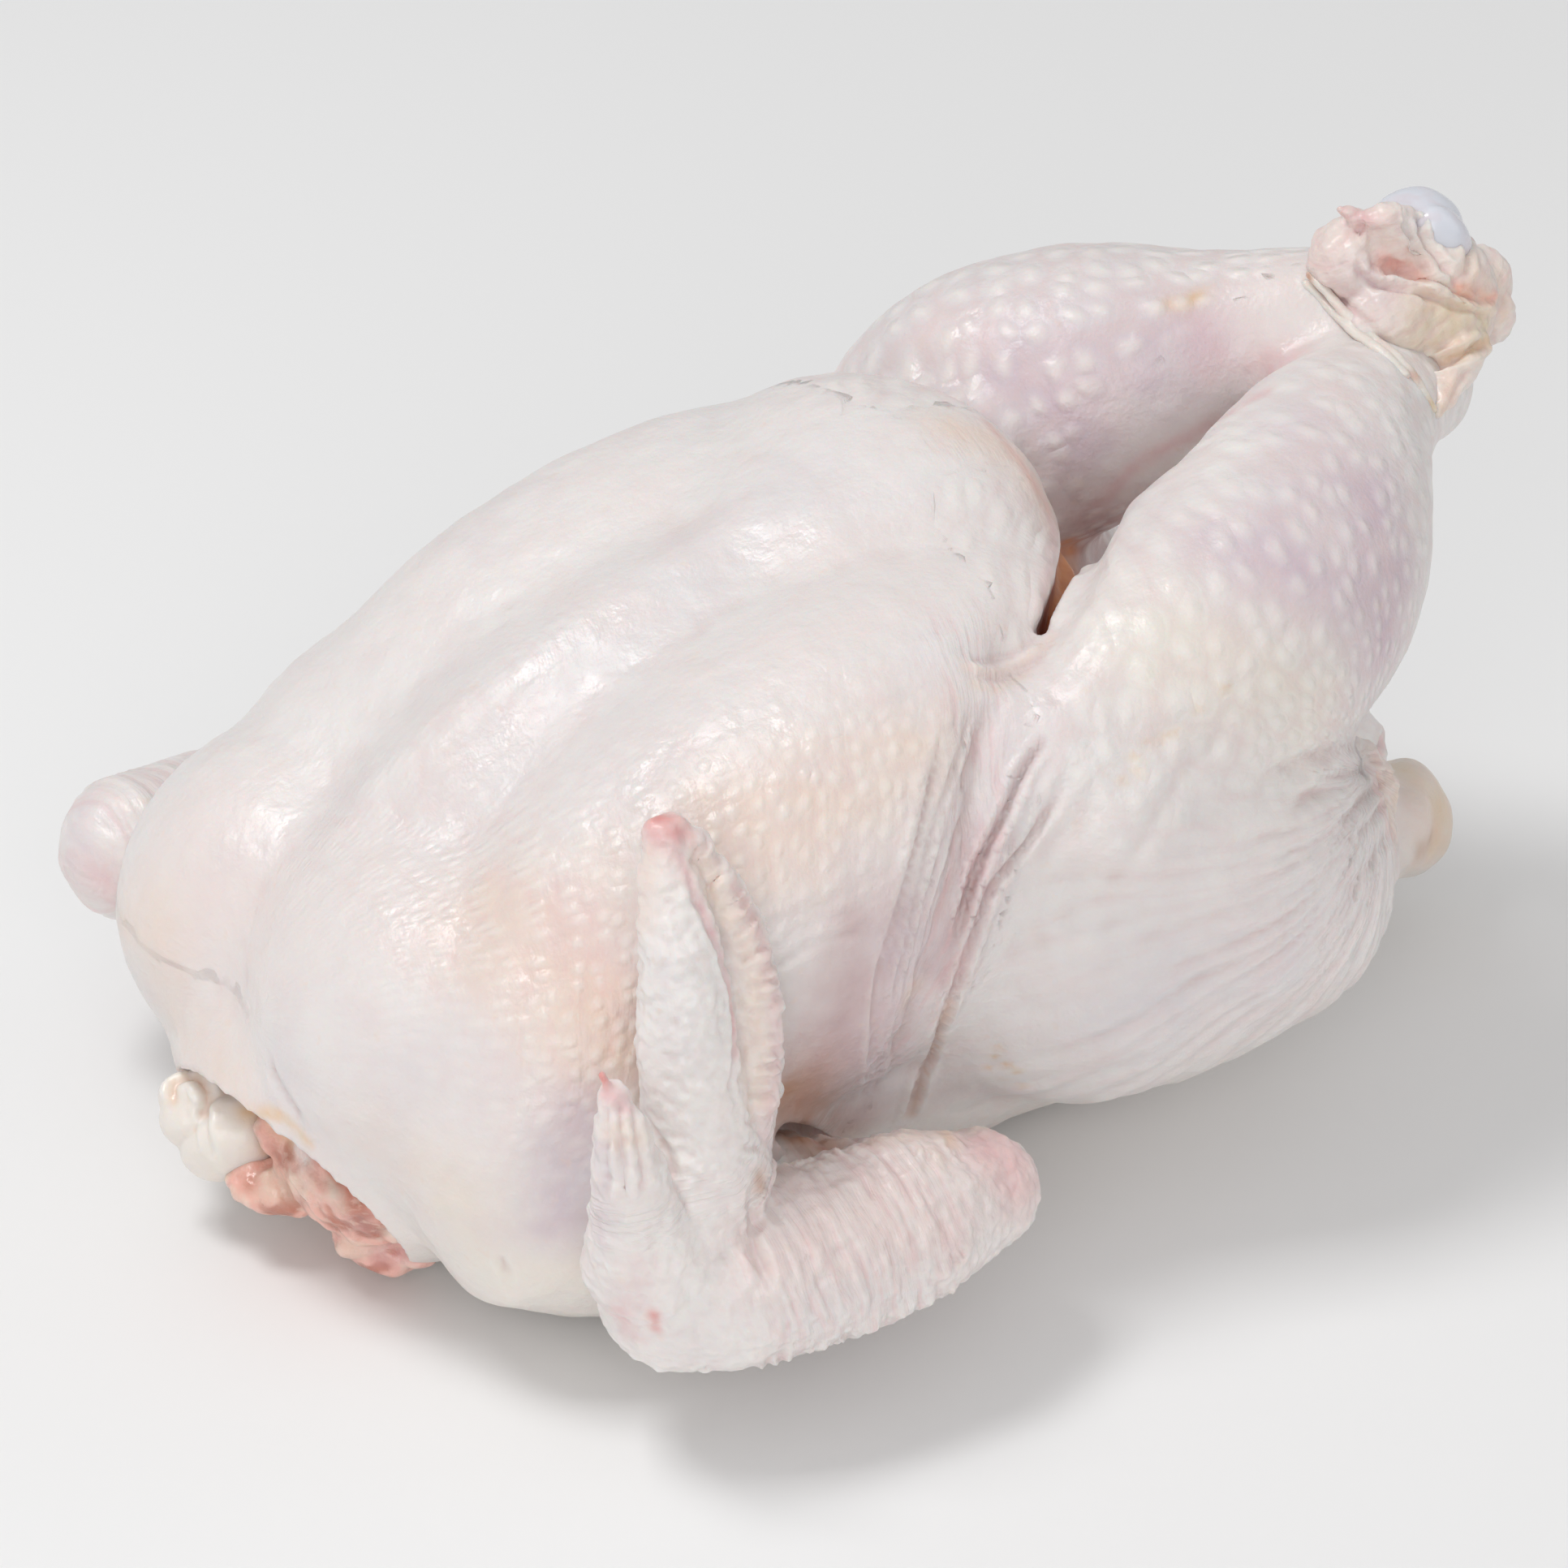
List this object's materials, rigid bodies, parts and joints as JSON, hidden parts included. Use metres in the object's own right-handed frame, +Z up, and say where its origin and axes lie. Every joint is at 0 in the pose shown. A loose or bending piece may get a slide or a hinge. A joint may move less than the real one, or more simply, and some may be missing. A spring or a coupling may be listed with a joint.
{
  "type": "whole raw chicken",
  "caption": "Whole raw dressed fryer chicken with its skin on, lying on its back with crossed hocks, folded wing and drawn body cavity.",
  "frame": {"origin": "middle of the underside of the bird's box, on the plane it rests on", "axes": "+X from the neck end towards the tail and hocks, +Y towards the bird's left side, +Z up, out of the breast"},
  "size_m": [0.237, 0.1866, 0.1347],
  "materials": {
    "skin": "moist pale skin with a soft sheen",
    "flesh": "wet raw meat, uneven",
    "fat": "soft pale fat, moist",
    "gristle": "smooth wet gristle, bluish white"
  },
  "bodies": {
    "root": {"carcass": "skin", "neck_flesh": "flesh", "neck_fat": "fat", "left_hock_knuckle": "gristle", "right_hock_knuckle": "gristle"}
  },
  "joints": []
}
